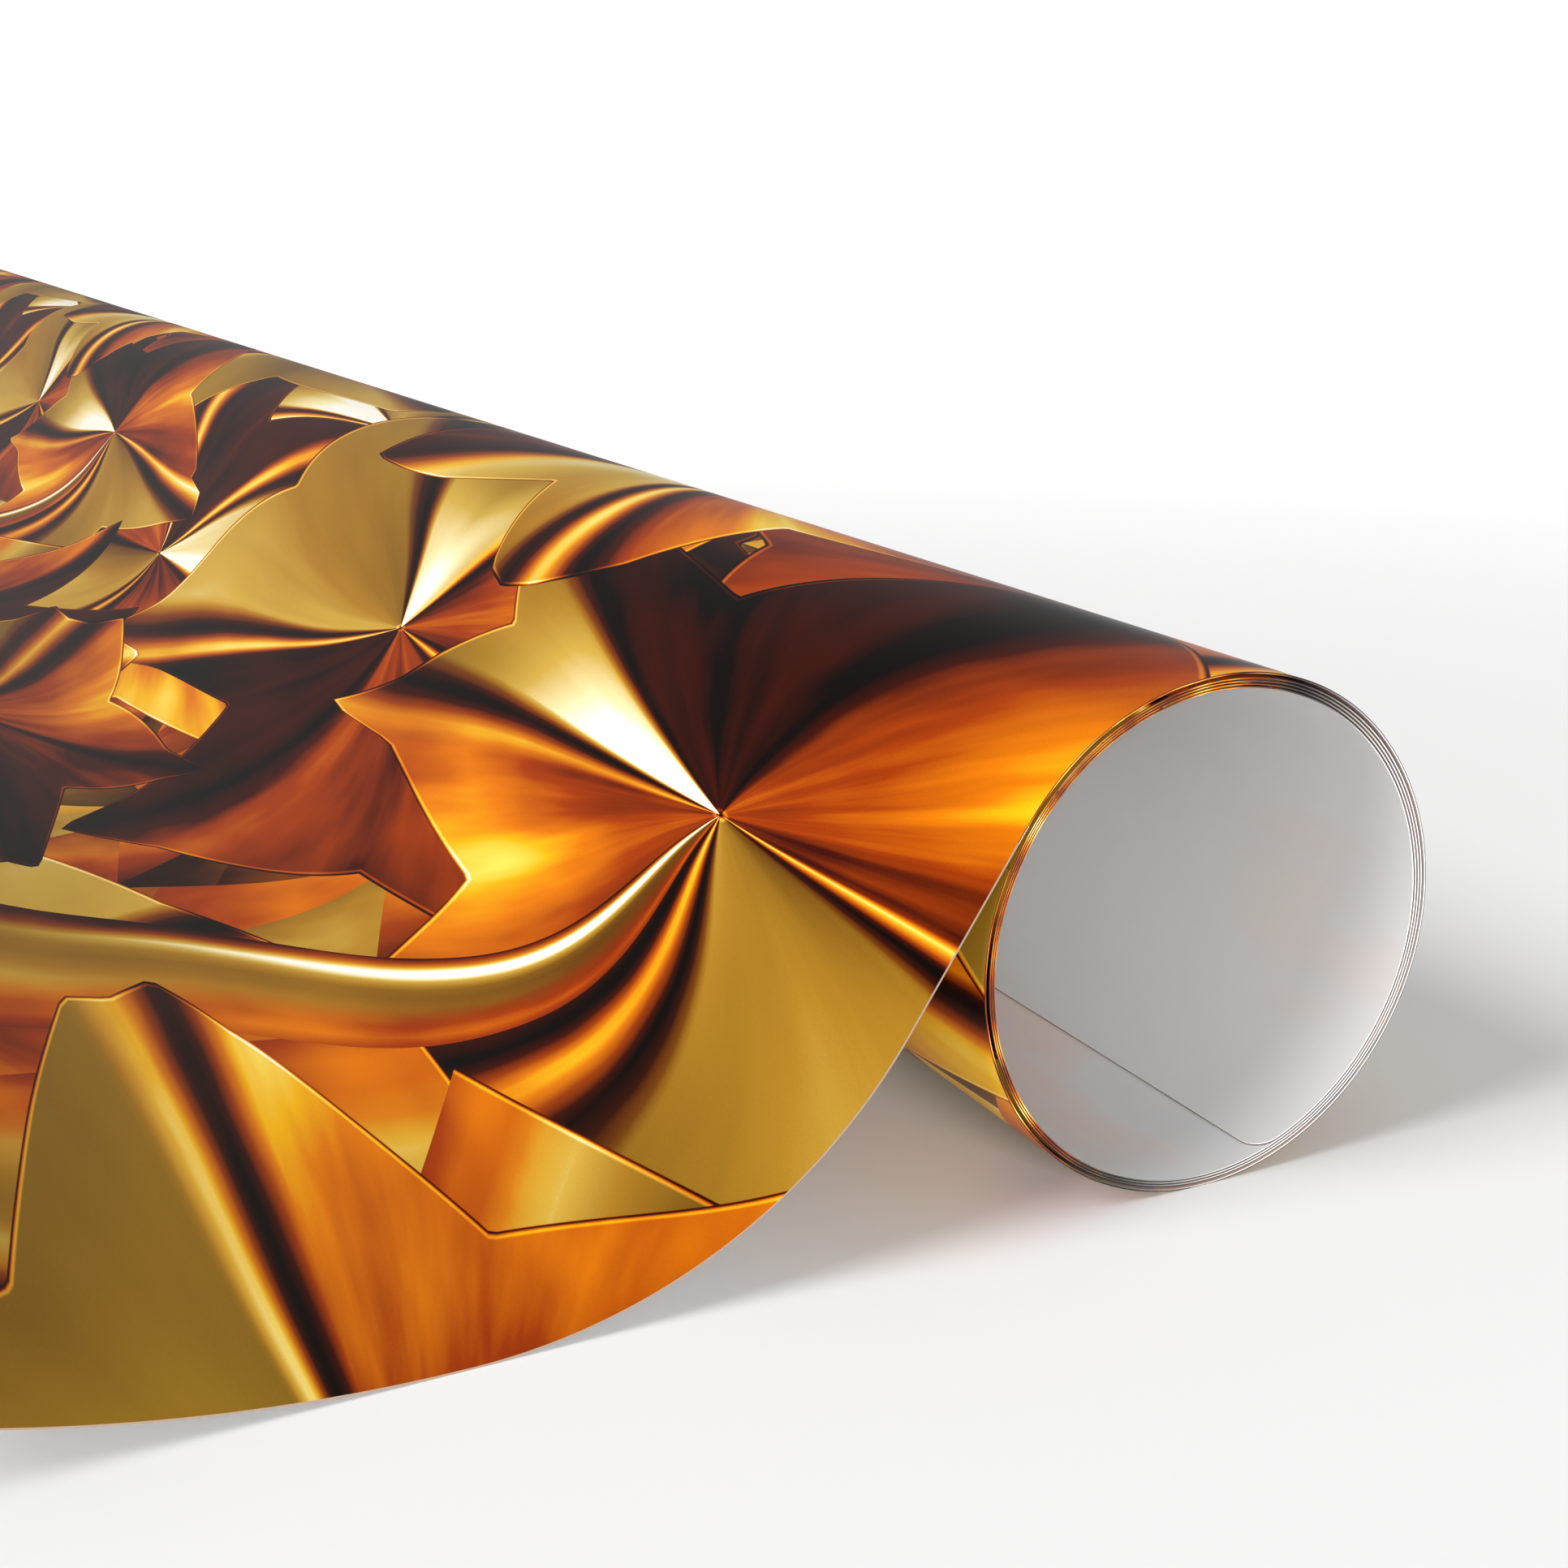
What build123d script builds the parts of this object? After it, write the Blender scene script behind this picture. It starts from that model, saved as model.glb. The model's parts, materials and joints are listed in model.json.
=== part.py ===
from build123d import *
import math
import os

# A coreless roll of metallised gift wrap, partly unrolled, standing on a table.
# The sheet is two bonded plies: a white paper, which faces the roll's axis, and a printed film outside it.
# X runs along the roll's axis, Z is up, and the sheet is drawn off towards -Y. The origin is on the axis,
# halfway along the roll. Every outline is drawn in the YZ plane, seen from +X, and extruded along X.
# All sizes are millimetres, and all angles are degrees counted anticlockwise from +Y.

# The sheet.
SHEET_WIDTH = 762.0  # along the roll's axis
SHEET_LENGTH = 700.0  # from the inner end to the free leading edge
PAPER_THICKNESS = 0.12
FILM_THICKNESS = 0.03
SHEET_THICKNESS = PAPER_THICKNESS + FILM_THICKNESS

# The wound turns. They lie tight on the left and open up a little on the right, as springy paper does.
BORE_RIGHT = 18.66  # from the axis to the innermost paper on the right
BORE_LEFT = 18.98
PITCH_RIGHT = 0.27
PITCH_LEFT = 0.16
INNER_END_ANGLE = -74.0
WHOLE_TURNS = 3
SEAM_ANGLE = 156.0  # where the wound turns stop and the outer wrap takes over
RUNNING_CLEARANCE = 0.05  # lets the wound turns spin inside the outer wrap

# The outer wrap and the sheet that leaves it.
ROLL_RADIUS = 20.0
RIGHT_SLACK = 0.03
DEPARTURE_ANGLE = 146.5  # where the sheet leaves the roll along a tangent
TOE_RADIUS = 38.15  # the bend that brings the falling sheet level with the table
CURL_RADIUS = 110.0  # the gentle upward curl that starts at the toe
CURL_LENGTH = 40.0
TIP_CURL_RADIUS = 70.0  # the tighter curl of the free end
STRIP_BEFORE_TOE = 8.0  # degrees of the toe bend that belong to the strip lying on the table
STRIP_AFTER_TOE = 4.0  # degrees of the curl that belong to it
HINGE_GAP = 0.1  # keeps the leading end clear of the strip while it is lifted
SHORT_ARC = 3.5  # degrees; the longest arc in one face of the drape and the leading end


class Arc:
    """A round stretch of the paper's inner face. The roll's axis side is on the left of the way it runs."""

    def __init__(self, centre, radius, start, sweep):
        self.centre = centre
        self.radius = radius
        self.start = start
        self.sweep = sweep

    def length(self):
        return self.radius * math.radians(abs(self.sweep))

    def curve(self, offset):
        """The same stretch moved outwards by offset: wider round the axis, tighter where it curls back."""
        radius = self.radius + math.copysign(offset, self.sweep)
        return CenterArc(self.centre, radius, self.start, self.sweep)

    def part(self, first, last):
        """The stretch between two angles, counted in degrees along it."""
        side = math.copysign(1, self.sweep)
        return Arc(self.centre, self.radius, self.start + side * first, side * (last - first))


class Straight:
    """A flat stretch of the paper's inner face, from a point, along a heading."""

    def __init__(self, start, heading, run):
        self.start = Vector(*start)
        self.heading = heading
        self.run = run

    def length(self):
        return self.run

    def curve(self, offset):
        along = Vector(1, 0).rotate(Axis.Z, self.heading)
        outwards = Vector(1, 0).rotate(Axis.Z, self.heading - 90)
        first = self.start + outwards * offset
        return Line(first, first + along * self.run)


def half_turn(from_radius, to_radius, upper):
    """Half a turn about a centre on the Y axis, which grows from one distance from the axis to another."""
    shift = (from_radius - to_radius) / 2
    centre = (shift, 0) if upper else (-shift, 0)
    return Arc(centre, (from_radius + to_radius) / 2, 0 if upper else 180, 180)


def right_of_turn(turn):
    return BORE_RIGHT + turn * PITCH_RIGHT


def left_of_turn(turn):
    return BORE_LEFT + turn * PITCH_LEFT


def upper_half(turn):
    return half_turn(right_of_turn(turn), left_of_turn(turn), upper=True)


def lower_half(turn):
    """The half turn that leads from one turn's left to the next turn's right."""
    return half_turn(left_of_turn(turn), right_of_turn(turn + 1), upper=False)


def whole_turn(turn):
    """One turn of the sheet, which starts and ends below the inner end."""
    under = 180 + INNER_END_ANGLE
    return [lower_half(turn - 1).part(under, 180), upper_half(turn), lower_half(turn).part(0, under)]


def last_wound_turn(turn):
    """The part of a turn that brings the sheet up to the seam."""
    under = 180 + INNER_END_ANGLE
    return [lower_half(turn - 1).part(under, 180), upper_half(turn).part(0, SEAM_ANGLE)]


def curl_back(point, heading, radius, sweep):
    """An arc that bends the sheet up and away from the roll, from a point, along a heading."""
    towards_centre = Vector(1, 0).rotate(Axis.Z, heading - 90)
    centre = Vector(*point) + towards_centre * radius
    return Arc((centre.X, centre.Y), radius, heading + 90, -sweep)


def end_of(stretch):
    return stretch.curve(0) @ 1


def in_short_arcs(stretches):
    """The same stretches with the arcs cut short, so that even a coarse mesh stays within a ply this thin."""
    cut = []
    for stretch in stretches:
        if isinstance(stretch, Straight):
            cut.append(stretch)
            continue
        count = math.ceil(abs(stretch.sweep) / SHORT_ARC)
        step = abs(stretch.sweep) / count
        cut += [stretch.part(number * step, (number + 1) * step) for number in range(count)]
    return cut


# The outer wrap clears the largest wound turn, and its upper half has the roll's nominal radius.
wound_radius = max(right_of_turn(WHOLE_TURNS), left_of_turn(WHOLE_TURNS)) + SHEET_THICKNESS
wrap_left = wound_radius + RUNNING_CLEARANCE
wrap_top_left = ROLL_RADIUS - SHEET_THICKNESS
wrap_right = wrap_top_left - RIGHT_SLACK
wrap_lower = half_turn(wrap_left, wrap_right, upper=False)
wrap_upper = half_turn(wrap_right, wrap_top_left, upper=True)
table = -(wrap_lower.radius + SHEET_THICKNESS)

# The wrap starts at the seam, on the circle of its lower half, and runs round to the departure line.
seam_lead = 180 - SEAM_ANGLE
wrap = [wrap_lower.part(-seam_lead, 180), wrap_upper.part(0, DEPARTURE_ANGLE)]

# The sheet falls straight along the tangent, then the toe bend lays it level on the table.
departure = end_of(wrap[-1])
fall_heading = DEPARTURE_ANGLE + 90
fall_angle = fall_heading - 180
toe_drop = TOE_RADIUS * (1 - math.cos(math.radians(fall_angle)))
fall_run = (departure.Y - table - toe_drop) / math.sin(math.radians(fall_angle))
fall = Straight((departure.X, departure.Y), fall_heading, fall_run)
toe = curl_back(end_of(fall), fall_heading, TOE_RADIUS, fall_angle)
drape = [fall, toe.part(0, fall_angle - STRIP_BEFORE_TOE)]

# The strip that lies on the table, across the toe line.
curl = curl_back(end_of(toe), 180, CURL_RADIUS, math.degrees(CURL_LENGTH / CURL_RADIUS))
strip = [toe.part(fall_angle - STRIP_BEFORE_TOE, fall_angle), curl.part(0, STRIP_AFTER_TOE)]

# The leading end takes the rest of the sheet's length.
turns = [whole_turn(turn) for turn in range(WHOLE_TURNS)] + [last_wound_turn(WHOLE_TURNS)]
before_tip = [stretch for turn in turns for stretch in turn] + wrap + [fall, toe, curl]
tip_length = SHEET_LENGTH - sum(stretch.length() for stretch in before_tip)
curl_angle = abs(curl.sweep)
tip_sweep = math.degrees(tip_length / TIP_CURL_RADIUS)
tip = curl_back(end_of(curl), 180 - curl_angle, TIP_CURL_RADIUS, tip_sweep)
gap_angle = math.degrees(HINGE_GAP / CURL_RADIUS)
leading_end = [curl.part(STRIP_AFTER_TOE + gap_angle, curl_angle), tip]


def ply(stretches, inner, outer):
    """One ply of a length of sheet: the band between two offsets from the paper's inner face, made solid."""
    inside = [stretch.curve(inner) for stretch in stretches]
    outside = [stretch.curve(outer) for stretch in stretches]
    ends = [Line(inside[0] @ 0, outside[0] @ 0), Line(inside[-1] @ 1, outside[-1] @ 1)]
    outline = Face(Wire(inside + outside + ends))
    left_end = Plane.YZ.offset(-SHEET_WIDTH / 2) * outline
    return extrude(left_end, SHEET_WIDTH, dir=(1, 0, 0), clean=False)  # cleaning would rejoin the short arcs


def write_sheet(name, stretches):
    """Writes a length of sheet as its two plies."""
    plies = {"paper": (0, PAPER_THICKNESS), "film": (PAPER_THICKNESS, SHEET_THICKNESS)}
    for ply_name, (inner, outer) in plies.items():
        export_step(ply(stretches, inner, outer), f"parts/{name}_{ply_name}.step")


os.makedirs("parts", exist_ok=True)
for number, turn in enumerate(turns, start=1):
    write_sheet(f"turn_{number}", turn)
write_sheet("outer_wrap", wrap)
write_sheet("drape", in_short_arcs(drape))
write_sheet("laid_strip", strip)
write_sheet("leading_end", in_short_arcs(leading_end))

hinge = curl.part(STRIP_AFTER_TOE, curl_angle).curve(SHEET_THICKNESS) @ 0
print(f"table at Z {table:.3f}, straight fall {fall_run:.2f} long, toe line at Y {end_of(toe).X:.3f}")
print(f"lift hinge at Y {hinge.X:.3f}, Z {hinge.Y:.3f}, free tip {tip_length:.2f} long")
bore = upper_half(0)
print(f"bore axis at Y {bore.centre[0]:.3f}, radius {bore.radius:.3f}")
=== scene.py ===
import json
import math
import random

import bpy
import numpy as np
from mathutils import Matrix, Vector


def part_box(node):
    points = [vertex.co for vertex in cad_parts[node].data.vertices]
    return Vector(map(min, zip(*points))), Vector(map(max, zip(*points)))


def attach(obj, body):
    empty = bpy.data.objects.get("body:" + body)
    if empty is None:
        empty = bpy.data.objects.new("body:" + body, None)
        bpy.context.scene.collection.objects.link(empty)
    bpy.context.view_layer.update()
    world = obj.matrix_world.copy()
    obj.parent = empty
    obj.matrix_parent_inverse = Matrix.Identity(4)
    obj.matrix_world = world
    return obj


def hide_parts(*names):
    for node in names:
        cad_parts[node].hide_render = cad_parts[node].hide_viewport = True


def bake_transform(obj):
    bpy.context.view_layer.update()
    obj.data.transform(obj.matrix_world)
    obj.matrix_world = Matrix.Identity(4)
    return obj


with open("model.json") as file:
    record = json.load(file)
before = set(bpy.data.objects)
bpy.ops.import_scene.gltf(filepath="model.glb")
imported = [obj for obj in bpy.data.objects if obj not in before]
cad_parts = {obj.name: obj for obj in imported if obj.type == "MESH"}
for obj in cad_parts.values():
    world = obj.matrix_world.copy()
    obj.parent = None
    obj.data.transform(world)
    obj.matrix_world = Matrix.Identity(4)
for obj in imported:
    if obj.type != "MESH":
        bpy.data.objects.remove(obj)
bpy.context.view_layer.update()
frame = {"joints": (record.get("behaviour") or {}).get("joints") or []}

# A partly unrolled roll of foil gift wrap. Every piece is one ply of one length of the sheet, and it
# replaces the CAD nodes of that ply. X runs along the roll's axis, Z is up, and the sheet is drawn off
# towards -Y. Lengths are metres, and angles are degrees counted anticlockwise from +Y, seen from +X.

MM = 0.001

# Sizes that come from the frame.
half_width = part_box("outer_wrap_film")[1][0]
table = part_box("outer_wrap_film")[0][2]
joints = {joint["name"]: joint for joint in frame["joints"]}
lift_line = Vector(joints["end_lift"]["pos_m"])

# The sheet's section, which is the CAD model's.
PAPER = 0.12 * MM
FILM = 0.03 * MM
SHEET = PAPER + FILM
SHEET_LENGTH = 700 * MM
BORE_RIGHT = 18.66 * MM
BORE_LEFT = 18.98 * MM
PITCH_RIGHT = 0.27 * MM
PITCH_LEFT = 0.16 * MM
INNER_END_ANGLE = -74.0
UNDER_END = 180 + INNER_END_ANGLE
WHOLE_TURNS = 3
SEAM_ANGLE = 156.0
RUNNING_CLEARANCE = 0.05 * MM
ROLL_RADIUS = 20 * MM
RIGHT_SLACK = 0.03 * MM
DEPARTURE_ANGLE = 146.5
TOE_RADIUS = 38.15 * MM
CURL_RADIUS = 110 * MM
CURL_LENGTH = 40 * MM
TIP_CURL_RADIUS = 70 * MM
STRIP_BEFORE_TOE = 8.0
STRIP_AFTER_TOE = 4.0

ARC_STEP = 1.5  # degrees between the points of an arc
STRAIGHT_STEP = 1.5 * MM
COLUMNS = 64  # quads across the sheet's width, but for the narrow ones beside each cut edge
CORNER = 2 * MM  # the rounded corners of the sheet's inner end
CORNER_COLUMNS = (0, 0.02, 0.08, 0.18, 0.32, 0.5, 0.72, 1)  # shares of a corner
FIRST_TURN = 8  # keeps the count of turns above 0, which marks the sheet that is off the roll


# ---------------------------------------------------------------- the sheet's path


class Arc:
    """A round stretch of the paper's inner face, with its outward normals."""

    def __init__(self, centre, radius, start, sweep):
        self.centre = np.array(centre)
        self.radius = radius
        self.start = start
        self.sweep = sweep

    def length(self):
        return self.radius * math.radians(abs(self.sweep))

    def at(self, shares):
        angles = np.radians(self.start + self.sweep * shares)
        radial = np.stack([np.cos(angles), np.sin(angles)], 1)
        return self.centre + self.radius * radial, radial * math.copysign(1, self.sweep)

    def steps(self):
        return math.ceil(abs(self.sweep) / ARC_STEP)

    def part(self, first, last):
        side = math.copysign(1, self.sweep)
        return Arc(self.centre, self.radius, self.start + side * first, side * (last - first))


class Straight:
    """A flat stretch of the paper's inner face."""

    def __init__(self, start, heading, run):
        angle = math.radians(heading)
        self.start = np.array(start)
        self.along = np.array([math.cos(angle), math.sin(angle)])
        self.normal = np.array([math.sin(angle), -math.cos(angle)])
        self.run = run

    def length(self):
        return self.run

    def at(self, shares):
        points = self.start + self.along * self.run * shares[:, None]
        return points, np.repeat(self.normal[None], len(shares), 0)

    def steps(self):
        return math.ceil(self.run / STRAIGHT_STEP)


def half_turn(from_radius, to_radius, upper):
    shift = (from_radius - to_radius) / 2
    centre = (shift, 0) if upper else (-shift, 0)
    return Arc(centre, (from_radius + to_radius) / 2, 0 if upper else 180, 180)


def upper_half(turn):
    return half_turn(BORE_RIGHT + turn * PITCH_RIGHT, BORE_LEFT + turn * PITCH_LEFT, True)


def lower_half(turn):
    return half_turn(BORE_LEFT + turn * PITCH_LEFT, BORE_RIGHT + (turn + 1) * PITCH_RIGHT, False)


def wound_turn(turn):
    """A whole turn, or the last one, which stops at the seam with the outer wrap."""
    lead = lower_half(turn - 1).part(UNDER_END, 180)
    if turn == WHOLE_TURNS:
        return [lead, upper_half(turn).part(0, SEAM_ANGLE)]
    return [lead, upper_half(turn), lower_half(turn).part(0, UNDER_END)]


def end_of(stretch):
    return stretch.at(np.array([1.0]))[0][0]


def curl_back(point, heading, radius, sweep):
    """An arc that bends the sheet up and away from the roll."""
    angle = math.radians(heading - 90)
    centre = point + radius * np.array([math.cos(angle), math.sin(angle)])
    return Arc(centre, radius, heading + 90, -sweep)


def outer_wrap():
    largest = max(BORE_RIGHT + WHOLE_TURNS * PITCH_RIGHT, BORE_LEFT + WHOLE_TURNS * PITCH_LEFT)
    left = largest + SHEET + RUNNING_CLEARANCE
    top_left = ROLL_RADIUS - SHEET
    right = top_left - RIGHT_SLACK
    lower = half_turn(left, right, False).part(SEAM_ANGLE - 180, 180)
    upper = half_turn(right, top_left, True).part(0, DEPARTURE_ANGLE)
    return [lower, upper]


def length_of(stretches):
    return sum(stretch.length() for stretch in stretches)


turns = [wound_turn(turn) for turn in range(WHOLE_TURNS + 1)]
wrap = outer_wrap()
departure = end_of(wrap[-1])
fall_heading = DEPARTURE_ANGLE + 90
fall_angle = fall_heading - 180
toe_drop = TOE_RADIUS * (1 - math.cos(math.radians(fall_angle)))
fall_run = (departure[1] - table - toe_drop) / math.sin(math.radians(fall_angle))
fall = Straight(departure, fall_heading, fall_run)
toe = curl_back(end_of(fall), fall_heading, TOE_RADIUS, fall_angle)
curl_angle = math.degrees(CURL_LENGTH / CURL_RADIUS)
curl = curl_back(end_of(toe), 180, CURL_RADIUS, curl_angle)
wound_length = sum(length_of(turn) for turn in turns)
tip_length = SHEET_LENGTH - wound_length - length_of(wrap + [fall, toe, curl])
tip_sweep = math.degrees(tip_length / TIP_CURL_RADIUS)
tip = curl_back(end_of(curl), 180 - curl_angle, TIP_CURL_RADIUS, tip_sweep)
drape = [fall, toe.part(0, fall_angle - STRIP_BEFORE_TOE)]
strip = [toe.part(fall_angle - STRIP_BEFORE_TOE, fall_angle), curl.part(0, STRIP_AFTER_TOE)]
leading_end = [curl.part(STRIP_AFTER_TOE, curl_angle), tip]
departure_along = wound_length + length_of(wrap)


def sampled(stretches, start_along):
    """Points and outward normals of a length of sheet, and how far along the sheet each lies."""
    points, normals, alongs = [], [], []
    along = start_along
    for stretch in stretches:
        count = stretch.steps()
        first = 1 if points else 0
        shares = np.arange(first, count + 1) / count
        place, normal = stretch.at(shares)
        points.append(place)
        normals.append(normal)
        alongs.append(along + shares * stretch.length())
        along += stretch.length()
    return np.concatenate(points), np.concatenate(normals), np.concatenate(alongs)


# ---------------------------------------------------------------- meshes


def add_object(name, data):
    """Puts an object with this data into the scene."""
    item = bpy.data.objects.new(name, data)
    bpy.context.scene.collection.objects.link(item)
    return item


def grid_faces(rows, columns, first, flip):
    """Quads of a grid of vertices, rows by columns, that starts at a vertex number."""
    corner = first + np.arange(rows - 1)[:, None] * columns + np.arange(columns - 1)[None]
    quads = np.stack([corner, corner + 1, corner + columns + 1, corner + columns], -1).reshape(-1, 4)
    return quads[:, ::-1] if flip else quads


def border_faces(inside, outside, flip):
    """Quads that join two matching lines of vertices."""
    quads = np.stack([inside[:-1], inside[1:], outside[1:], outside[:-1]], -1)
    return quads[:, ::-1] if flip else quads


def mark_sharp(mesh, is_edge):
    """Keeps the cut edges from rounding the shading of the faces beside them."""
    borders = np.empty(len(mesh.loops), np.int32)
    mesh.loops.foreach_get("edge_index", borders)
    sharp = np.zeros(len(mesh.edges), bool)
    sharp[borders.reshape(-1, 4)[is_edge].ravel()] = True
    mesh.attributes.new("sharp_edge", "BOOLEAN", "EDGE").data.foreach_set("value", sharp)


def turns_round(line, alongs):
    """How far round the roll each point of the section lies, in turns. Off the roll it is 0."""
    angles = np.unwrap(np.arctan2(line[:, 1], line[:, 0]))
    return np.where(alongs > departure_along, 0.0, angles / (2 * math.pi) + FIRST_TURN)


def columns_across():
    """Where the columns of vertices lie across the sheet, close together beside its two cut edges."""
    corner = half_width - np.array(CORNER_COLUMNS) * CORNER
    middle = np.linspace(half_width, -half_width, COLUMNS + 1)[1:-1]
    return np.concatenate([-corner, middle[::-1], corner[::-1]])


def corner_cut(across):
    """How much of the inner end each column loses to the rounded corners."""
    past = np.clip(np.abs(across) - (half_width - CORNER), 0, CORNER)
    return CORNER - np.sqrt(CORNER**2 - past**2)


def ply_faces(rows, columns):
    """The quads of a ply, and which of them are on its cut edges."""
    count = rows * columns
    numbers = np.arange(2 * count).reshape(2, rows, columns)
    faces = [
        grid_faces(rows, columns, 0, False),
        grid_faces(rows, columns, count, True),
        border_faces(numbers[0, :, -1], numbers[1, :, -1], False),
        border_faces(numbers[0, :, 0], numbers[1, :, 0], True),
        border_faces(numbers[0, 0], numbers[1, 0], False),
        border_faces(numbers[0, -1], numbers[1, -1], True),
    ]
    is_edge = np.repeat([False, False, True, True, True, True], [len(part) for part in faces])
    return np.concatenate(faces), is_edge


def keep_places(mesh, name, shape, first, second):
    """Stores two numbers with each vertex, for a material to read."""
    places = np.zeros((*shape, 3), np.float32)
    places[..., 0] = first
    places[..., 1] = second
    mesh.attributes.new(name, "FLOAT_VECTOR", "POINT").data.foreach_set("vector", places.ravel())


def ply_piece(name, stretches, start_along, inner, outer, face_material, edge_material):
    """One ply of a length of sheet, as a closed mesh: two long faces and four cut edges."""
    line, normals, alongs = sampled(stretches, start_along)
    across = columns_across()
    rows, columns = len(line), len(across)
    x = np.repeat(across[None], rows, 0)
    s = np.repeat(alongs[:, None], columns, 1)
    if start_along == 0:  # the inner end, whose corners are rounded
        fading = np.clip(1 - alongs / (2 * CORNER), 0, 1)
        s += corner_cut(across)[None] * fading[:, None]
    offsets = np.array([inner, outer])
    layers = []
    for offset in offsets:
        section = line + normals * offset
        y, z = (np.interp(s, alongs, section[:, axis]) for axis in (0, 1))
        layers.append(np.stack([x, y, z], -1).reshape(-1, 3))
    faces, is_edge = ply_faces(rows, columns)
    mesh = bpy.data.meshes.new(name)
    mesh.from_pydata(np.concatenate(layers).tolist(), [], faces.tolist())
    mesh.polygons.foreach_set("use_smooth", ~is_edge)
    mesh.materials.append(face_material)
    mesh.materials.append(edge_material)
    mesh.polygons.foreach_set("material_index", is_edge.astype(np.int32))
    mark_sharp(mesh, is_edge)
    shape = (2, rows, columns)
    keep_places(mesh, "sheet_place", shape, half_width - x, s - departure_along)
    rounds = turns_round(line, alongs)[None, :, None]
    keep_places(mesh, "rim_place", shape, rounds, offsets[:, None, None] / SHEET)
    mesh.update()
    return add_object(name, mesh)


# ---------------------------------------------------------------- materials


class Nodes:
    """A material's node tree, with a short way to write each kind of step."""

    def __init__(self, name):
        self.material = bpy.data.materials.new(name)
        self.material.use_nodes = True
        self.tree = self.material.node_tree
        self.tree.nodes.clear()

    def add(self, kind, inputs=(), **settings):
        """A node of one kind, with its inputs, which are numbers or outputs, and its other settings."""
        node = self.tree.nodes.new(kind)
        for key, value in settings.items():
            setattr(node, key, value)
        for key, value in dict(inputs).items():
            self.put(node.inputs[key], value)
        return node

    def put(self, socket, value):
        if isinstance(value, bpy.types.NodeSocket):
            self.tree.links.new(value, socket)
        else:
            socket.default_value = value

    def attribute(self, name):
        """The numbers that ply_piece keeps with each vertex."""
        return self.add("ShaderNodeAttribute", attribute_name=name).outputs["Vector"]

    def math(self, operation, *values):
        node = self.add("ShaderNodeMath", operation=operation)
        for socket, value in zip(node.inputs, values):
            self.put(socket, value)
        return node.outputs[0]

    def vector(self, operation, *values):
        node = self.add("ShaderNodeVectorMath", operation=operation)
        for socket, value in zip(node.inputs, values):
            self.put(socket, value)
        return node.outputs["Value" if operation == "LENGTH" else "Vector"]

    def scaled(self, vector, amount):
        node = self.add("ShaderNodeVectorMath", operation="SCALE")
        self.put(node.inputs[0], vector)
        self.put(node.inputs["Scale"], amount)
        return node.outputs["Vector"]

    def parts(self, vector):
        return self.add("ShaderNodeSeparateXYZ", {0: vector}).outputs

    def joined(self, x, y, z=0.0):
        return self.add("ShaderNodeCombineXYZ", {0: x, 1: y, 2: z}).outputs[0]

    def noise(self, vector, scale, detail, output="Fac"):
        inputs = {"Vector": vector, "Scale": scale, "Detail": detail}
        return self.add("ShaderNodeTexNoise", inputs).outputs[output]

    def cells(self, vector, scale):
        inputs = {"Vector": vector, "Scale": scale}
        return self.add("ShaderNodeTexVoronoi", inputs, voronoi_dimensions="2D").outputs

    def spread(self, value, low, high, to_low=0.0, to_high=1.0, smooth=True):
        """Maps low..high to to_low..to_high, held at its ends."""
        node = self.add("ShaderNodeMapRange", interpolation_type="SMOOTHSTEP" if smooth else "LINEAR")
        for socket, number in zip(node.inputs, (value, low, high, to_low, to_high)):
            self.put(socket, number)
        return node.outputs[0]

    def mix(self, share, first, second):
        """Mixes two colours, which are this node's inputs 6 and 7. Its result is output 2."""
        node = self.add("ShaderNodeMix", data_type="RGBA")
        self.put(node.inputs["Factor"], share)
        self.put(node.inputs[6], first)
        self.put(node.inputs[7], second)
        return node.outputs[2]

    def ramp(self, value, stops):
        """The colour and the alpha of a ramp of stops, each a place with red, green, blue and alpha."""
        node = self.add("ShaderNodeValToRGB", {"Fac": value})
        elements = node.color_ramp.elements
        while len(elements) < len(stops):
            elements.new(0.5)
        for element, (place, colour) in zip(elements, stops):
            element.position = place
            element.color = colour
        return node.outputs["Color"], node.outputs["Alpha"]

    def tint(self, value, stops):
        """The colour of a ramp of opaque stops."""
        return self.ramp(value, [(place, opaque(colour)) for place, colour in stops])[0]

    def surface(self, **sockets):
        """The finished material, with its shader's sockets given by name."""
        names = {key: key.replace("_", " ").title().replace("Ior", "IOR") for key in sockets}
        inputs = {names[key]: value for key, value in sockets.items()}
        shader = self.add("ShaderNodeBsdfPrincipled", inputs)
        output = self.add("ShaderNodeOutputMaterial")
        self.tree.links.new(shader.outputs[0], output.inputs["Surface"])
        return self.material


def linear(red, green, blue):
    """A colour in linear light, from its 0 to 255 screen values."""
    return tuple((value / 255) ** 2.2 for value in (red, green, blue))


def opaque(colour):
    return (*colour, 1)


WHITE = (1, 1, 1, 1)
BLACK = (0, 0, 0, 1)


# The print is a design of its own. It repeats across the sheet and along it, and its folds are drawn in
# a space where they are about as long as they are wide.
REPEAT = (300 * MM, 200 * MM)
FOLD = (50 * MM, 20 * MM)
PRINT_SEED = 5
PINCHES = (3, 4)  # across a repeat and along it
PLACE_ACROSS = (0.1, 0.6)  # where a pinch may lie in its share of a repeat
PLACE_ALONG = (0.2, 0.8)
LARGEST_FAN = 2.1  # in folds
SMALLEST_FAN = 1.3
SWEEPS = 3
SWEEP_REACH = 4.6  # in folds
SWEEP_WIDTH = (15, 20)  # in degrees
SWEEP_HEADINGS = (-110, -75, 60, 95)
SWEEP_SWAY = 6
FANS_OVER_SWEEPS = 3  # the small fans that cover parts of them
CLOSED = 0.004  # the reach of a ray that shows nothing

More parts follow.
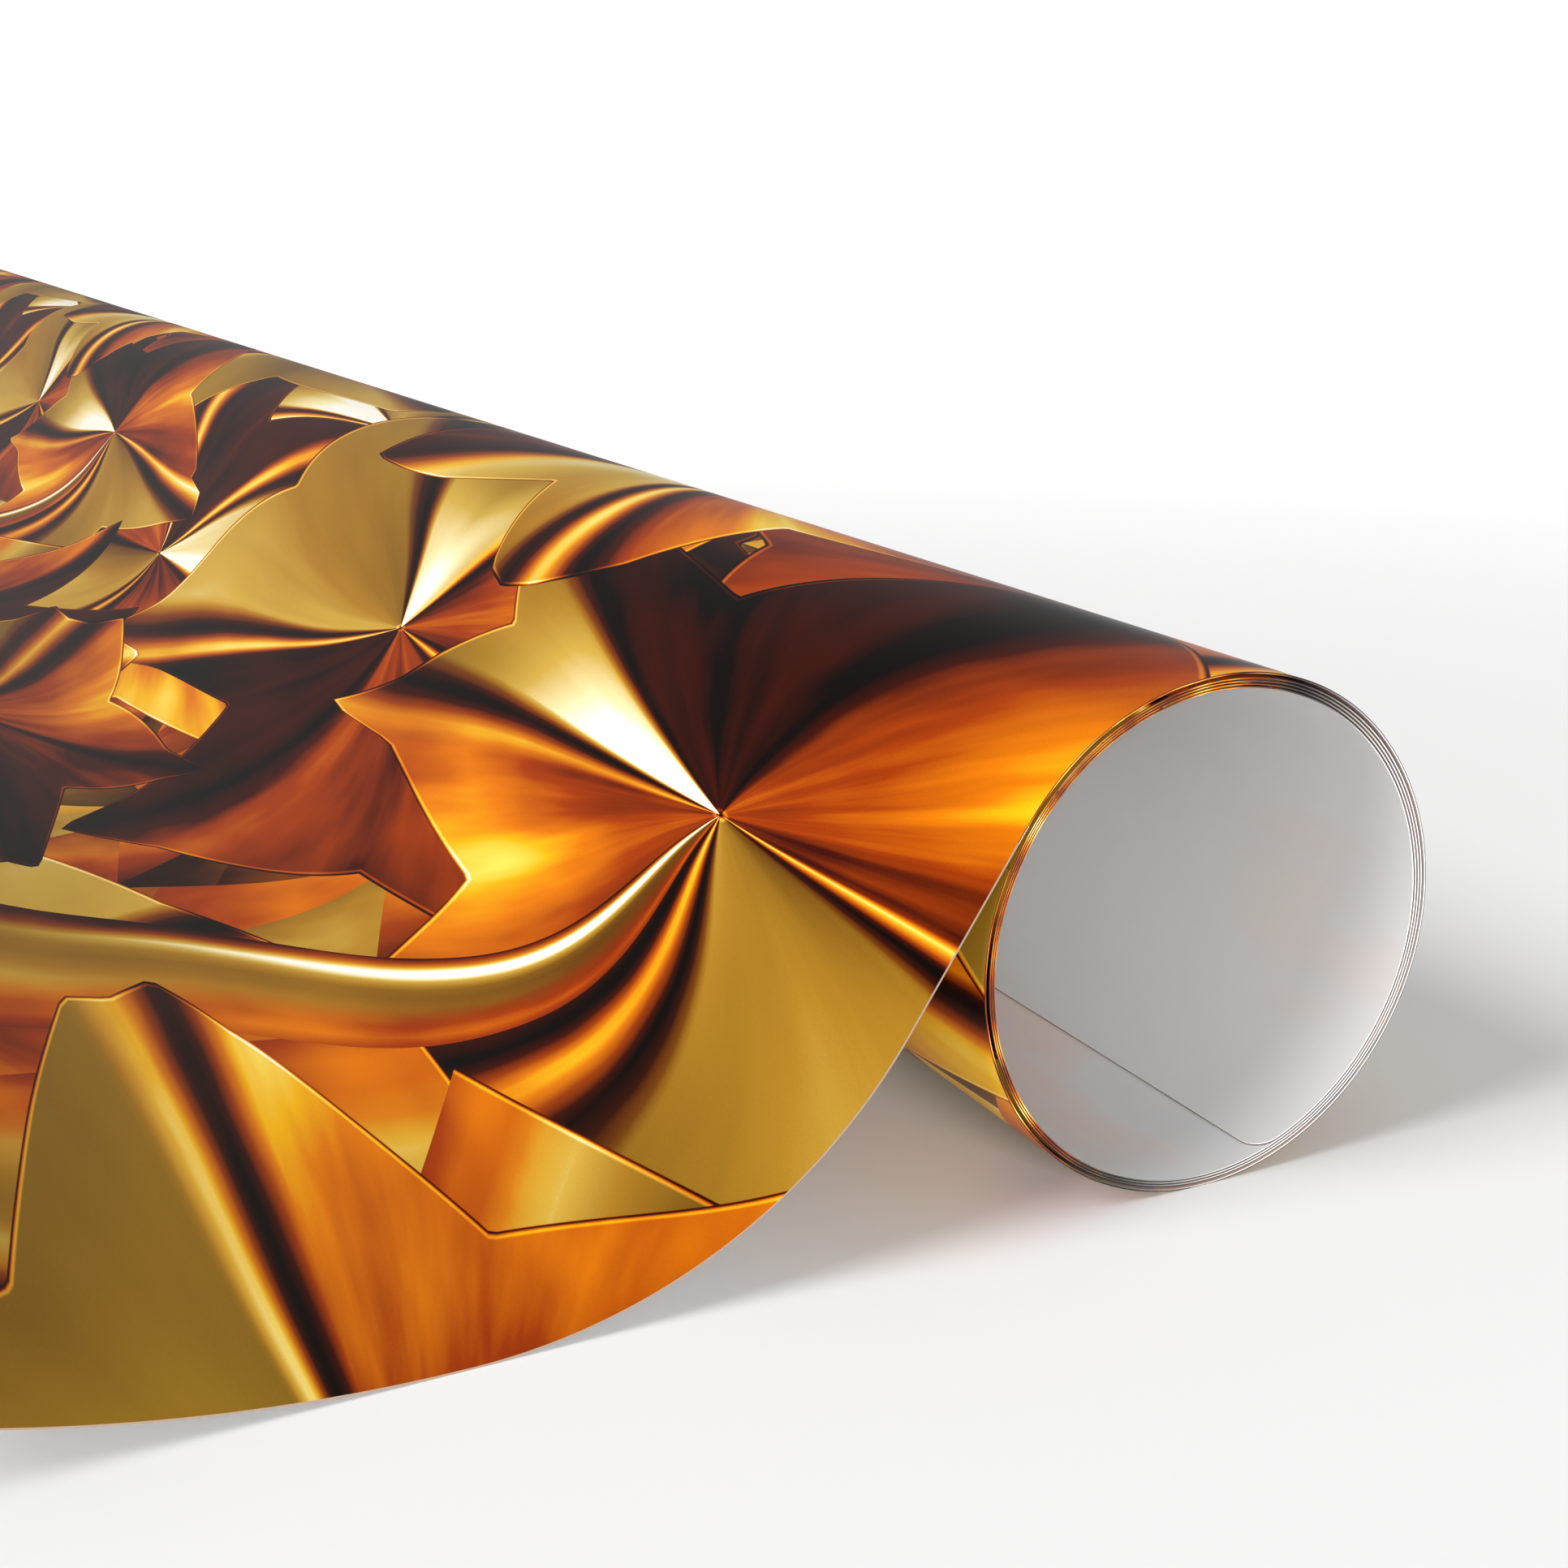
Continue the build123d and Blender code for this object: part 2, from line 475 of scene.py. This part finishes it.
# The kinds of facet round a pinch. Each has the lowest and highest of its width in degrees, of its tone
# at the pinch and at its far end, and of its warmth from olive to orange.
GOLD = ((35, 65), (0.42, 0.74), (0.44, 0.88), (0.0, 0.15))
LIT_GOLD = ((18, 32), (0.75, 1.15), (0.5, 0.75), (0.0, 0.2))
AMBER = ((25, 50), (0.25, 0.5), (0.3, 0.8), (0.9, 1.0))
BROWN = ((20, 40), (0.1, 0.3), (0.06, 0.3), (0.8, 1.0))
DARK_CREASE = ((3, 7), (0.0, 0.12), (0.0, 0.12), (0.6, 0.9))
BRIGHT_CREASE = ((2, 5), (0.7, 1.0), (0.6, 0.9), (0.6, 1.0))
PANELS = (GOLD, AMBER, LIT_GOLD, BROWN, AMBER)
CREASES = (DARK_CREASE, BRIGHT_CREASE, DARK_CREASE)

# Where a facet's rays are, as shares of its width, and how far they reach, as shares of the fan's size.
# A panel's middle ray is short, so its far side is hollow.
PANEL_RAYS = ((0.04, 1.15), (0.5, 0.75), (0.96, 1.15))
CREASE_RAYS = ((0.5, 1.25),)
REACH_SPREAD = (0.85, 1.1)

# The rays of a sweep, from its dark side through a highlight to its orange side: the tones at the pinch
# and at the far end, and the warmth.
SWEEP_RAYS = (
    (0.12, 0.15, 0.9),
    (0.3, 0.12, 1.0),
    (1.3, 0.45, 0.0),
    (0.5, 0.5, 0.1),
    (0.42, 0.62, 0.1),
    (0.4, 0.76, 0.2),
    (0.35, 0.5, 1.0),
    (0.5, 0.5, 1.0),
    (0.3, 0.25, 1.0),
)


def pinch_rays(chance, size):
    """The rays round a pinch: wide panels, with one to three narrow creases after each."""
    kinds = []
    for panel in chance.sample(PANELS, len(PANELS)):
        kinds += [panel, *CREASES[: chance.randint(1, len(CREASES))]]
    widths = [chance.uniform(*kind[0]) for kind in kinds]
    stretch = 360 / sum(widths)
    rays = []
    start = -180.0
    for kind, width in zip(kinds, widths):
        for share, reach in PANEL_RAYS if kind in PANELS else CREASE_RAYS:
            tones = [chance.uniform(*bounds) for bounds in kind[1:]]
            length = size * reach * chance.uniform(*REACH_SPREAD)
            rays.append((start + share * width * stretch, *tones, length))
        start += width * stretch
    seam = rays[0][1:]
    return [(-180, *seam), *rays, (180, *seam)]


def sweep_rays(heading, width, size):
    """A long narrow fan, which the bends of the print turn into a sweep of foil."""
    step = width / (len(SWEEP_RAYS) - 1)
    closed = (*SWEEP_RAYS[0], CLOSED)
    rays = [(-180, *closed), (heading - step, *closed)]
    for number, tones in enumerate(SWEEP_RAYS):
        rays.append((heading + number * step, *tones, size))
    return [*rays, (heading + width + step, *closed), (180, *closed)]


def make_fans():
    """The print's fans, in the order they cover each other: hub, in millimetres, and rays.

    A ray is its angle in degrees, its tones at the pinch and at its far end, its warmth, and its length
    in folds.
    """
    chance = random.Random(PRINT_SEED)
    across, along = (repeat / MM / count for repeat, count in zip(REPEAT, PINCHES))
    cells = [(column, row) for row in range(PINCHES[1]) for column in range(PINCHES[0])]
    chance.shuffle(cells)
    fans = []
    for number, (column, row) in enumerate(cells):
        x = (column + row % 2 / 2 + chance.uniform(*PLACE_ACROSS)) * across
        s = (row + chance.uniform(*PLACE_ALONG)) * along
        size = LARGEST_FAN + (SMALLEST_FAN - LARGEST_FAN) * number / len(cells)
        fans.append((x, s, pinch_rays(chance, size)))
    for number in range(SWEEPS):
        x, s, _ = fans[len(cells) // 2 + number]
        heading = chance.choice(SWEEP_HEADINGS) + chance.uniform(-SWEEP_SWAY, SWEEP_SWAY)
        rays = sweep_rays(heading, chance.uniform(*SWEEP_WIDTH), SWEEP_REACH)
        fans.insert(len(fans) - FANS_OVER_SWEEPS, (x, s, rays))
    return fans


# How a fan's facets are streaked, and how its rim darkens and glints. Places and widths are in folds.
STREAKS = 6
OLIVE_STREAK_DEPTH = 0.04
ORANGE_STREAK_DEPTH = 0.4
RIM_SHADE_WIDTH = 0.014
RIM_SHADE_TONE = -0.4
GLINT_PLACE = 0.02
GLINT_WIDTH = 0.012
GLINT_TONE = 0.16
WARM_RIM = (0.01, 0.034)
RIM_WARMTH = 0.9
RIM_BLUR = 0.004

# The small pinches between the fans. Their tones are part chance, part clouds.
GROUND_LEAN = 0.4  # radians
GROUND_STRETCH = (1.7, 0.6, 1)
GROUND_CELLS = 0.9  # in each fold
GROUND_FACETS = 7
GROUND_CHANCE = 0.45
GROUND_CLOUDS = 0.9
GROUND_DARKENING = -0.2
GROUND_WARMTH = (0.2, 0.6, 0.1, 1)  # from chances between the first two to warmths between the others

# How the whole print bends, and how its tones are spread and clouded before they are coloured.
BENDS = 0.55  # in each fold
BEND_SIZE = 0.5  # in folds
CONTRAST = 1.2
DARKENING = -0.11
OLIVE_CLOUD_DEPTH = 0.08
ORANGE_CLOUD_DEPTH = 0.38
GRAIN = 4000.0  # in each metre
GRAIN_DEPTH = 0.03

# The print's colours, from its darkest tone to its lightest.
OLIVE = (
    (0.0, linear(8, 5, 4)),
    (0.2, linear(36, 22, 8)),
    (0.4, linear(88, 62, 16)),
    (0.6, linear(158, 120, 38)),
    (0.75, linear(198, 164, 72)),
    (0.9, linear(244, 230, 176)),
    (1.0, linear(255, 252, 240)),
)
ORANGE = (
    (0.0, linear(14, 4, 3)),
    (0.2, linear(66, 16, 3)),
    (0.4, linear(158, 58, 2)),
    (0.6, linear(222, 118, 4)),
    (0.75, linear(246, 182, 16)),
    (0.9, linear(255, 222, 88)),
    (1.0, linear(255, 250, 220)),
)


def from_hub(nodes, value, hub, axis):
    """How far a point of the print is from the nearest repeat of a hub along one axis, in folds."""
    distance = nodes.math("SUBTRACT", value, hub[axis] * MM / FOLD[axis])
    half = REPEAT[axis] / FOLD[axis] / 2
    return nodes.math("WRAP", distance, half, -half)


def add_texture(nodes, tone, texture, depth):
    """A tone made lighter and darker by a texture that runs from 0 to 1."""
    return nodes.math("MULTIPLY_ADD", nodes.math("SUBTRACT", texture, 0.5), depth, tone)


def by_warmth(nodes, warmth, olive, orange):
    """A number that goes from its olive value to its orange value."""
    return nodes.math("MULTIPLY_ADD", warmth, orange - olive, olive)


def facet_streaks(nodes, offset, distance, seed):
    """Streaks that run out from a pinch."""
    x, s, _ = nodes.parts(nodes.scaled(nodes.vector("NORMALIZE", offset), STREAKS))
    return nodes.noise(nodes.joined(x, s, nodes.math("ADD", distance, seed)), 1.0, 3.0)


def rim_tone(nodes, inside):
    """The dark line round a fan, and the glint beside it."""
    shade = nodes.spread(inside, 0, RIM_SHADE_WIDTH, RIM_SHADE_TONE, 0)
    from_glint = nodes.math("ABSOLUTE", nodes.math("SUBTRACT", inside, GLINT_PLACE))
    return nodes.math("ADD", shade, nodes.spread(from_glint, 0, GLINT_WIDTH, GLINT_TONE, 0))


def fan(nodes, below, place, hub, rays):
    """Covers part of the print with the facets round one pinch."""
    x, s, _ = nodes.parts(place)
    across = from_hub(nodes, x, hub, 0)
    along = from_hub(nodes, s, hub, 1)
    offset = nodes.joined(across, along)
    distance = nodes.vector("LENGTH", offset)
    turn = nodes.math("MULTIPLY_ADD", nodes.math("ARCTAN2", along, across), 0.5 / math.pi, 0.5)
    stops = [((angle + 180) / 360, (*tones, CLOSED / reach)) for angle, *tones, reach in rays]
    tones, closeness = nodes.ramp(turn, stops)
    near, far, warmth = nodes.parts(tones)
    share = nodes.math("MULTIPLY", distance, nodes.math("DIVIDE", closeness, CLOSED))
    inside = nodes.math("MULTIPLY", nodes.math("SUBTRACT", 1, share), distance)
    streak_depth = by_warmth(nodes, warmth, OLIVE_STREAK_DEPTH, ORANGE_STREAK_DEPTH)
    tone = nodes.spread(share, 0, 1, near, far)
    tone = add_texture(nodes, tone, facet_streaks(nodes, offset, distance, hub[0]), streak_depth)
    tone = nodes.math("ADD", tone, rim_tone(nodes, inside))
    warmth = nodes.math("MAXIMUM", warmth, nodes.spread(inside, *WARM_RIM, RIM_WARMTH, 0))
    mask = nodes.spread(inside, -RIM_BLUR, RIM_BLUR)
    return nodes.mix(mask, below, nodes.joined(tone, warmth))


def crumpled_ground(nodes, place):
    """The foil between the fans: smaller pinches with facets of chance tones."""
    lean = {"Vector": place, "Rotation": (0, 0, GROUND_LEAN), "Scale": GROUND_STRETCH}
    place = nodes.add("ShaderNodeMapping", lean).outputs[0]
    cells = nodes.cells(place, GROUND_CELLS)
    x, s, _ = nodes.parts(nodes.vector("SUBTRACT", place, cells["Position"]))
    half = GROUND_FACETS / 2
    turn = nodes.math("MULTIPLY_ADD", nodes.math("ARCTAN2", s, x), half / math.pi, half + 0.5)
    facet = nodes.math("FLOOR", turn)
    share = nodes.math("SUBTRACT", turn, facet)
    source = {"Vector": cells["Position"], "W": facet}
    chance = nodes.add("ShaderNodeTexWhiteNoise", source, noise_dimensions="4D").outputs["Color"]
    first, second, warmth = nodes.parts(chance)
    tone = nodes.spread(share, 0, 1, first, second, smooth=False)
    tone = nodes.math("MULTIPLY_ADD", tone, GROUND_CHANCE, GROUND_DARKENING)
    tone = nodes.math("MULTIPLY_ADD", nodes.noise(place, 0.9, 4.0), GROUND_CLOUDS, tone)
    return nodes.joined(tone, nodes.spread(warmth, *GROUND_WARMTH))


def gold_print():
    """The printed face: small crumples, the fans over them, then clouds, grain and colour."""
    nodes = Nodes("gold_print")
    place = nodes.attribute("sheet_place")
    folds = nodes.vector("MULTIPLY", place, (1 / FOLD[0], 1 / FOLD[1], 0))
    bend = nodes.vector("SUBTRACT", nodes.noise(folds, BENDS, 0.0, output="Color"), (0.5, 0.5, 0.5))
    bent = nodes.vector("ADD", folds, nodes.scaled(bend, BEND_SIZE))
    state = crumpled_ground(nodes, bent)
    for *hub, rays in make_fans():
        state = fan(nodes, state, bent, hub, rays)
    tone, warmth, _ = nodes.parts(state)
    tone = nodes.math("MULTIPLY_ADD", tone, CONTRAST, DARKENING)
    cloud_depth = by_warmth(nodes, warmth, OLIVE_CLOUD_DEPTH, ORANGE_CLOUD_DEPTH)
    tone = add_texture(nodes, tone, nodes.noise(bent, 1.3, 2.0), cloud_depth)
    tone = add_texture(nodes, tone, nodes.noise(place, GRAIN, 1.0), GRAIN_DEPTH)
    colour = nodes.mix(warmth, nodes.tint(tone, OLIVE), nodes.tint(tone, ORANGE))
    return nodes.surface(
        base_color=colour, roughness=0.3, specular_ior_level=0.07, specular_tint=(1, 0.6, 0.2, 1)
    )


# The white back's painted reflections, faint tints in streaks and clouds. These are counted in each
# metre, across the sheet and along it, and the tints show where the clouds are thick.
PEARL = linear(217, 216, 214)
PEARL_REFLECTION_TINTS = (
    (0.3, linear(207, 211, 219)),
    (0.5, PEARL),
    (0.62, linear(226, 206, 200)),
    (0.75, linear(222, 215, 193)),
)
PEARL_STREAKS = (22, 60, 0)
PEARL_CLOUDS = (9, 30, 0)
REFLECTION_CLOUDS = (0.4, 0.65)
FIBRES = 9000.0  # in each metre


def pearl_back_painted_reflections():
    """The sheet's glossy white back, with faint cool, rosy and cream streaks of painted reflection."""
    nodes = Nodes("pearl_back_painted_reflections")
    place = nodes.attribute("sheet_place")
    streaks = nodes.noise(nodes.vector("MULTIPLY", place, PEARL_STREAKS), 1.0, 3.0)
    clouds = nodes.noise(nodes.vector("MULTIPLY", place, PEARL_CLOUDS), 1.0, 1.0)
    # Painted reflections: faint tints in streaks, where the clouds are thick.
    tint = nodes.tint(streaks, PEARL_REFLECTION_TINTS)
    colour = nodes.mix(nodes.spread(clouds, *REFLECTION_CLOUDS), opaque(PEARL), tint)
    relief = {"Height": nodes.noise(place, FIBRES, 2.0), "Strength": 0.06, "Distance": 0.1 * MM}
    bump = nodes.add("ShaderNodeBump", relief).outputs[0]
    return nodes.surface(base_color=colour, roughness=0.24, specular_ior_level=0.6, normal=bump)


# The rim's painted shade (its dark stretch) and painted reflection of the foil (its gold stretch): where
# each comes in and goes out, in turns from the right.
RIM_PAINTED_SHADE_STRETCH = ((0.08, 0.2), (0.82, 0.68))
RIM_PAINTED_REFLECTION_STRETCH = ((0.2, 0.25), (0.68, 0.6))
# Painted glints in the rim's painted reflection of the foil.
PAINTED_GLINTS_ROUND = 30  # in each turn
PAINTED_GLINTS_DEEP = 1.2  # in the sheet's thickness
FILM_AND_GAP_SHADE_LINE = (0.5, 0.62)  # where the film's dark colour starts, as shares of the thickness: early, so the dark line is wider than the film and is partly painted shade of the gaps between turns
# Colours of the rim's painted reflection of the foil, up to its painted glints.
RIM_REFLECTION_GOLD = (
    (0.34, linear(14, 7, 5)),
    (0.44, linear(140, 50, 5)),
    (0.54, linear(214, 124, 16)),
    (0.62, linear(252, 216, 110)),
    (0.72, linear(255, 248, 224)),
)


def stretch_of_rim(nodes, turn, comes_in, goes_out):
    """1 along a stretch of the rim and 0 elsewhere, with soft ends."""
    return nodes.math("MULTIPLY", nodes.spread(turn, *comes_in), nodes.spread(turn, *goes_out))


def cut_edge_painted_light():
    """The rim: white on the right, painted shade on its dark stretch, and painted foil reflection on its
    gold one.
    """
    nodes = Nodes("cut_edge_painted_light")
    turns, depth, _ = nodes.parts(nodes.attribute("rim_place"))
    turn = nodes.math("FRACT", turns)
    # The film's own dark edge, widened into painted shade of the gaps between turns.
    film = nodes.spread(depth, *FILM_AND_GAP_SHADE_LINE)
    round_place = nodes.math("MULTIPLY", turns, PAINTED_GLINTS_ROUND)
    deep_place = nodes.math("MULTIPLY", depth, PAINTED_GLINTS_DEEP)
    # Painted glints for the rim's painted reflection of the foil.
    glints = nodes.noise(nodes.joined(round_place, deep_place), 1.0, 4.0)
    foil = nodes.mix(film, nodes.tint(glints, RIM_REFLECTION_GOLD), opaque(linear(30, 12, 4)))
    white = nodes.mix(film, opaque(linear(236, 233, 230)), opaque(linear(34, 31, 30)))
    # Painted shade for the rim's dark stretch.
    dark = nodes.mix(film, opaque(linear(60, 55, 52)), opaque(linear(4, 4, 4)))
    # Painted shade over the dark stretch, then the painted reflection of the foil over the gold stretch.
    colour = nodes.mix(stretch_of_rim(nodes, turn, *RIM_PAINTED_SHADE_STRETCH), white, dark)
    colour = nodes.mix(stretch_of_rim(nodes, turn, *RIM_PAINTED_REFLECTION_STRETCH), colour, foil)
    off_the_roll = nodes.spread(turns, 1, 0)
    colour = nodes.mix(off_the_roll, colour, opaque(linear(150, 128, 110)))
    return nodes.surface(base_color=colour, roughness=0.35, specular_ior_level=0.3)


# ---------------------------------------------------------------- pieces

gold = gold_print()
pearl = pearl_back_painted_reflections()
edge = cut_edge_painted_light()
plies = {
    "paper": (0, PAPER, pearl, edge, "white_paper"),
    "film": (PAPER, SHEET, gold, edge, "gold_film"),
}


def make_plies(name, stretches, start_along, nodes, place):
    """Both plies of a length of sheet, which hide its CAD nodes and are set in place by place()."""
    for ply, (inner, outer, face, rim, slot) in plies.items():
        piece = ply_piece(f"{name}_{ply}", stretches, start_along, inner, outer, face, rim)
        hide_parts(*(f"{node}_{ply}" for node in nodes))
        length_of(stretches)
        place(piece)


def on_the_roll(piece):
    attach(piece, "wound_roll")


def on_the_table(piece):
    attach(piece, "laid_strip")


def across_the_draw(piece):
    """Bakes the wrap and drape's placement into their mesh. The whole wrap stays round."""
    end = (0, end_of(drape[-1])[0], 0)
    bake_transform(piece)


def across_the_lift(piece):
    """Bakes the leading end's placement into its mesh."""
    run = lift_line.y - end_of(tip)[0]
    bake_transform(piece)


along = 0.0
for number, turn in enumerate(turns, start=1):
    name = f"turn_{number}"
    make_plies(f"wound_{name}", turn, along, [name], on_the_roll)
    along += length_of(turn)
make_plies("wrap_and_drape", wrap + drape, along, ["outer_wrap", "drape"], across_the_draw)
along += length_of(wrap + drape)
make_plies("table_strip", strip, along, ["laid_strip"], on_the_table)
along += length_of(strip)
make_plies("curled_end", leading_end, along, ["leading_end"], across_the_lift)


# ---------------------------------------------------------------- floor, light and camera

# The floor's painted shade near the mouth, and its painted glow further off.
FLOOR_SHADED_GREY = (0.9, 0.9, 0.9, 1)
FLOOR_PAINTED_LIGHT_FADE = (0.05, 0.6)  # how far from the mouth the floor's painted shade starts to give way to its painted glow, and is white
FLOOR_PAINTED_GLOW = 0.25
FLOOR_REACH = 30

# The lights. Energies are Blender's: of a sun its strength, and of a lamp its watts.
SUN_ENERGY = 2.2
SUN_WIDTH = 26  # in degrees
SUN_TRAVEL = Vector((-0.02, 1, -0.8))
MOUTH_LAMP_ENERGY = 18
MOUTH_LAMP_SIZE = 0.6
MOUTH_LAMP_OFFSET = Vector((1.0, -0.26, 0.11))
SKY_LIGHT = 0.36
SKY_SEEN = 1.1

# The camera's lens in millimetres, its place in roll radii from the middle of the mouth, and its axes,
# which were fitted to the photograph.
LENS = 48.6
SENSOR_WIDTH = 36
mouth = Vector((half_width, 0, 0))
camera_place = mouth + ROLL_RADIUS * Vector((5.818, -4.660, 2.702))
forward = Vector((-0.85995, 0.42785, -0.27828)).normalized()
right = forward.cross(Vector((0, 0, 1))).normalized()
up = right.cross(forward)


def floor():
    """A pale floor with painted light: greyer near the mouth as painted shade, and whitening with a
    painted glow away from it.
    """
    nodes = Nodes("pale_floor_painted_light")
    place = nodes.add("ShaderNodeNewGeometry").outputs["Position"]
    distance = nodes.vector("LENGTH", nodes.vector("SUBTRACT", place, (half_width, 0, table)))
    # The share of painted glow; nearer the mouth the floor keeps its painted shade.
    far = nodes.spread(distance, *FLOOR_PAINTED_LIGHT_FADE)
    material = nodes.surface(
        base_color=nodes.mix(far, FLOOR_SHADED_GREY, WHITE),
        roughness=0.9,
        specular_ior_level=0.1,
        # The painted glow, though the floor is no lamp.
        emission_color=nodes.mix(far, BLACK, WHITE),
        emission_strength=FLOOR_PAINTED_GLOW,
    )
    ways = ((-1, -1), (1, -1), (1, 1), (-1, 1))
    corners = [(x * FLOOR_REACH, y * FLOOR_REACH, table) for x, y in ways]
    mesh = bpy.data.meshes.new("floor")
    mesh.from_pydata(corners, [], [(0, 1, 2, 3)])
    mesh.materials.append(material)
    add_object("floor", mesh)


def camera():
    """The photograph's view."""
    data = bpy.data.cameras.new("photo_camera")
    data.lens = LENS
    data.sensor_width = SENSOR_WIDTH
    data.clip_start = 0.01
    data.clip_end = 100
    item = add_object("photo_camera", data)
    axes = Matrix((right, up, -forward)).transposed().to_4x4()
    item.matrix_world = Matrix.Translation(camera_place) @ axes
    bpy.context.scene.camera = item


def add_lamp(name, kind, energy, travel):
    """A lamp whose light travels in one direction."""
    data = bpy.data.lights.new(name, kind)
    data.energy = energy
    item = add_object(name, data)
    item.rotation_euler = travel.to_track_quat("-Z", "Y").to_euler()
    return item


def sun():
    """The main light, wide enough for soft shadows."""
    item = add_lamp("key", "SUN", SUN_ENERGY, SUN_TRAVEL)
    item.data.angle = math.radians(SUN_WIDTH)


def mouth_light():
    """A wide, weak lamp on the camera's side, which shines into the roll's mouth."""
    item = add_lamp("mouth", "AREA", MOUTH_LAMP_ENERGY, -MOUTH_LAMP_OFFSET)
    item.location = mouth + MOUTH_LAMP_OFFSET
    item.data.shape = "DISK"
    item.data.size = MOUTH_LAMP_SIZE


def sky():
    """White all round: weak as a light, and bright where the camera sees it."""
    world = bpy.data.worlds.new("studio")
    world.use_nodes = True
    tree = world.node_tree
    tree.nodes.clear()
    mix = tree.nodes.new("ShaderNodeMixShader")
    path = tree.nodes.new("ShaderNodeLightPath")
    tree.links.new(path.outputs["Is Camera Ray"], mix.inputs[0])
    for place, strength in enumerate((SKY_LIGHT, SKY_SEEN), start=1):
        background = tree.nodes.new("ShaderNodeBackground")
        background.inputs["Color"].default_value = WHITE
        background.inputs["Strength"].default_value = strength
        tree.links.new(background.outputs[0], mix.inputs[place])
    output = tree.nodes.new("ShaderNodeOutputWorld")
    tree.links.new(mix.outputs[0], output.inputs["Surface"])
    bpy.context.scene.world = world


floor()
camera()
sun()
mouth_light()
sky()
bpy.context.scene.view_settings.view_transform = "Standard"
